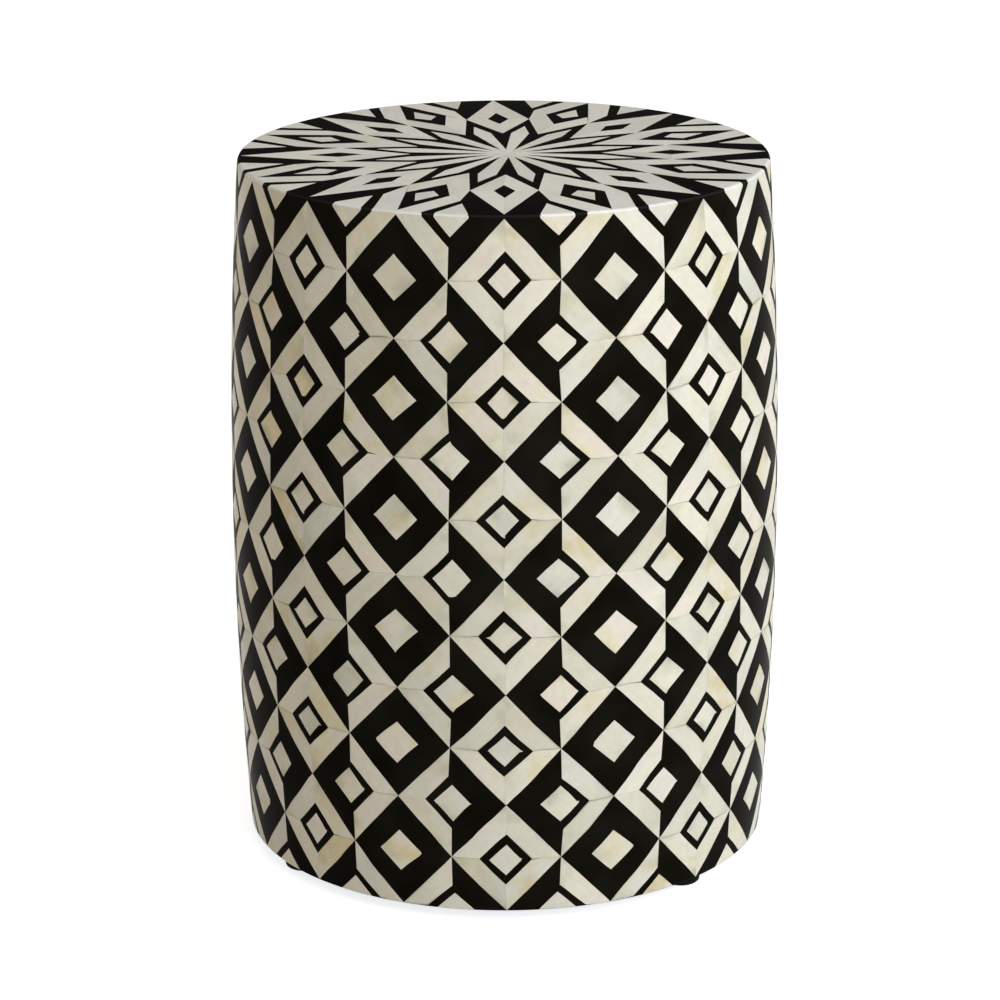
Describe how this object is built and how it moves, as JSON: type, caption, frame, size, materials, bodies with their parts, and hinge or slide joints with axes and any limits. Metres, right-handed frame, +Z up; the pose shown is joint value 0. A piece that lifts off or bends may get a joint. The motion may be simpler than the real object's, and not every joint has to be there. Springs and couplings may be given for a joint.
{
  "type": "drum stool",
  "caption": "Round barrel-shaped drum stool or side table with a flush bone and black resin inlay, a radial star on its flat top, and small rubber feet.",
  "frame": {"origin": "centre of the footprint, on the floor under the feet", "axes": "+Z up, the front of the pattern looks along -Y, +X to the right of someone who faces the front"},
  "size_m": [0.3566, 0.3566, 0.457],
  "materials": {
    "black_resin": "polished black resin, soft satin gloss",
    "bone": "polished natural bone, cream with faint grain and tone changes from slip to slip",
    "carcass_wood": "bare planed hardwood",
    "plywood": "bare plywood",
    "black_paint": "board with thin matt black paint",
    "rubber": "matt black rubber",
    "steel": "zinc-plated screws and washers"
  },
  "bodies": {
    "root": {"side_inlay": "black_resin", "top_inlay": "black_resin", "bone_petal_1": "bone", "bone_petal_2": "bone", "bone_petal_3": "bone", "bone_petal_4": "bone", "bone_petal_5": "bone", "bone_petal_6": "bone", "bone_petal_7": "bone", "bone_petal_8": "bone", "bone_petal_9": "bone", "bone_petal_10": "bone", "bone_petal_11": "bone", "bone_petal_12": "bone", "bone_petal_13": "bone", "bone_petal_14": "bone", "bone_petal_15": "bone", "bone_petal_16": "bone", "base_board": "black_paint", "lower_rib": "plywood", "middle_rib": "plywood", "upper_rib": "plywood", "top_board": "carcass_wood", "stave_1": "carcass_wood", "stave_2": "carcass_wood", "stave_3": "carcass_wood", "stave_4": "carcass_wood", "stave_5": "carcass_wood", "stave_6": "carcass_wood", "stave_7": "carcass_wood", "stave_8": "carcass_wood", "stave_9": "carcass_wood", "stave_10": "carcass_wood", "stave_11": "carcass_wood", "stave_12": "carcass_wood", "stave_13": "carcass_wood", "stave_14": "carcass_wood", "stave_15": "carcass_wood", "stave_16": "carcass_wood", "base_screw_1": "steel", "base_screw_2": "steel", "base_screw_3": "steel", "base_screw_4": "steel", "top_screw_1": "steel", "top_screw_2": "steel", "top_screw_3": "steel", "top_screw_4": "steel", "foot_1": "rubber", "foot_washer_1": "steel", "foot_screw_1": "steel", "foot_2": "rubber", "foot_washer_2": "steel", "foot_screw_2": "steel", "foot_3": "rubber", "foot_washer_3": "steel", "foot_screw_3": "steel", "foot_4": "rubber", "foot_washer_4": "steel", "foot_screw_4": "steel"}
  },
  "joints": []
}
